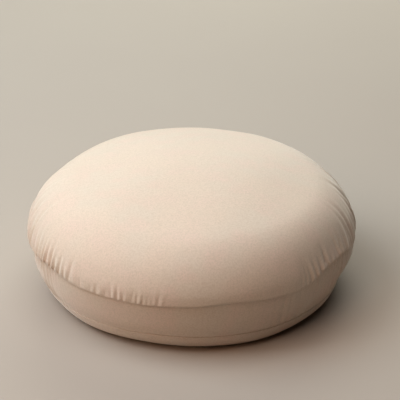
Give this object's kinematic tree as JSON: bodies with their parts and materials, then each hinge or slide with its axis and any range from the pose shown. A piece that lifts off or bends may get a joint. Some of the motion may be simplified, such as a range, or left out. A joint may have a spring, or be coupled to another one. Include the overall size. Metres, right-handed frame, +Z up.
{
  "type": "round floor cushion",
  "caption": "Round boxed floor cushion: domed velvet top, side band, flat base, hidden zip at the back, and an inner bag of fibre filling.",
  "frame": {"origin": "centre of the face the cushion rests on", "axes": "+Z up, +Y towards the zipped back, +X to the right seen from the front"},
  "size_m": [0.6, 0.6, 0.238],
  "materials": {
    "velvet": "short-pile warm cream velvet with a soft sheen",
    "zip_tape": "woven polyester tape",
    "zip_coil": "coiled monofilament",
    "zip_metal": "die-cast, enamelled to match the cloth",
    "sewing_thread": "spun polyester thread",
    "edging_thread": "textured edging thread",
    "label_ribbon": "blank woven ribbon",
    "liner_cloth": "plain white woven polycotton",
    "liner_thread": "spun polyester thread",
    "fibre_filling": "white hollow polyester fibre"
  },
  "bodies": {
    "cushion": {"top_panel": "velvet", "bottom_panel": "velvet", "front_band": "velvet", "zip_band_upper": "velvet", "zip_band_lower": "velvet", "zip_tape_upper": "zip_tape", "zip_tape_lower": "zip_tape", "zip_coil_upper": "zip_coil", "zip_coil_lower": "zip_coil", "zip_top_stops": "zip_metal", "zip_bottom_stop": "zip_metal", "top_seam_thread": "sewing_thread", "bottom_seam_thread": "sewing_thread", "band_join_threads": "sewing_thread", "zip_topstitch_upper": "sewing_thread", "zip_topstitch_lower": "sewing_thread", "top_seam_overlock": "edging_thread", "bottom_seam_overlock": "edging_thread", "care_label": "label_ribbon", "liner_top": "liner_cloth", "liner_band": "liner_cloth", "liner_bottom": "liner_cloth", "liner_top_seam_thread": "liner_thread", "liner_bottom_seam_thread": "liner_thread", "liner_closing_stitches": "liner_thread", "fibre_fill": "fibre_filling"},
    "slider": {"slider_body": "zip_metal", "slider_bridge": "zip_metal"},
    "pull": {"pull_tab": "zip_metal"}
  },
  "joints": [
    {"name": "zip_travel", "type": "hinge", "parent": "cushion", "child": "slider", "pos_m": [0, 0, 0.06804], "axis": [0, 0, 1], "range_deg": [0, 92], "deforming": ["zip_coil_upper", "zip_coil_lower"]},
    {"name": "pull_swing", "type": "hinge", "parent": "slider", "child": "pull", "pos_m": [0.21135, 0.19835, 0.06784], "axis": [-0.1249, -0.1172, -0.9852], "range_deg": [0, 175]}
  ]
}
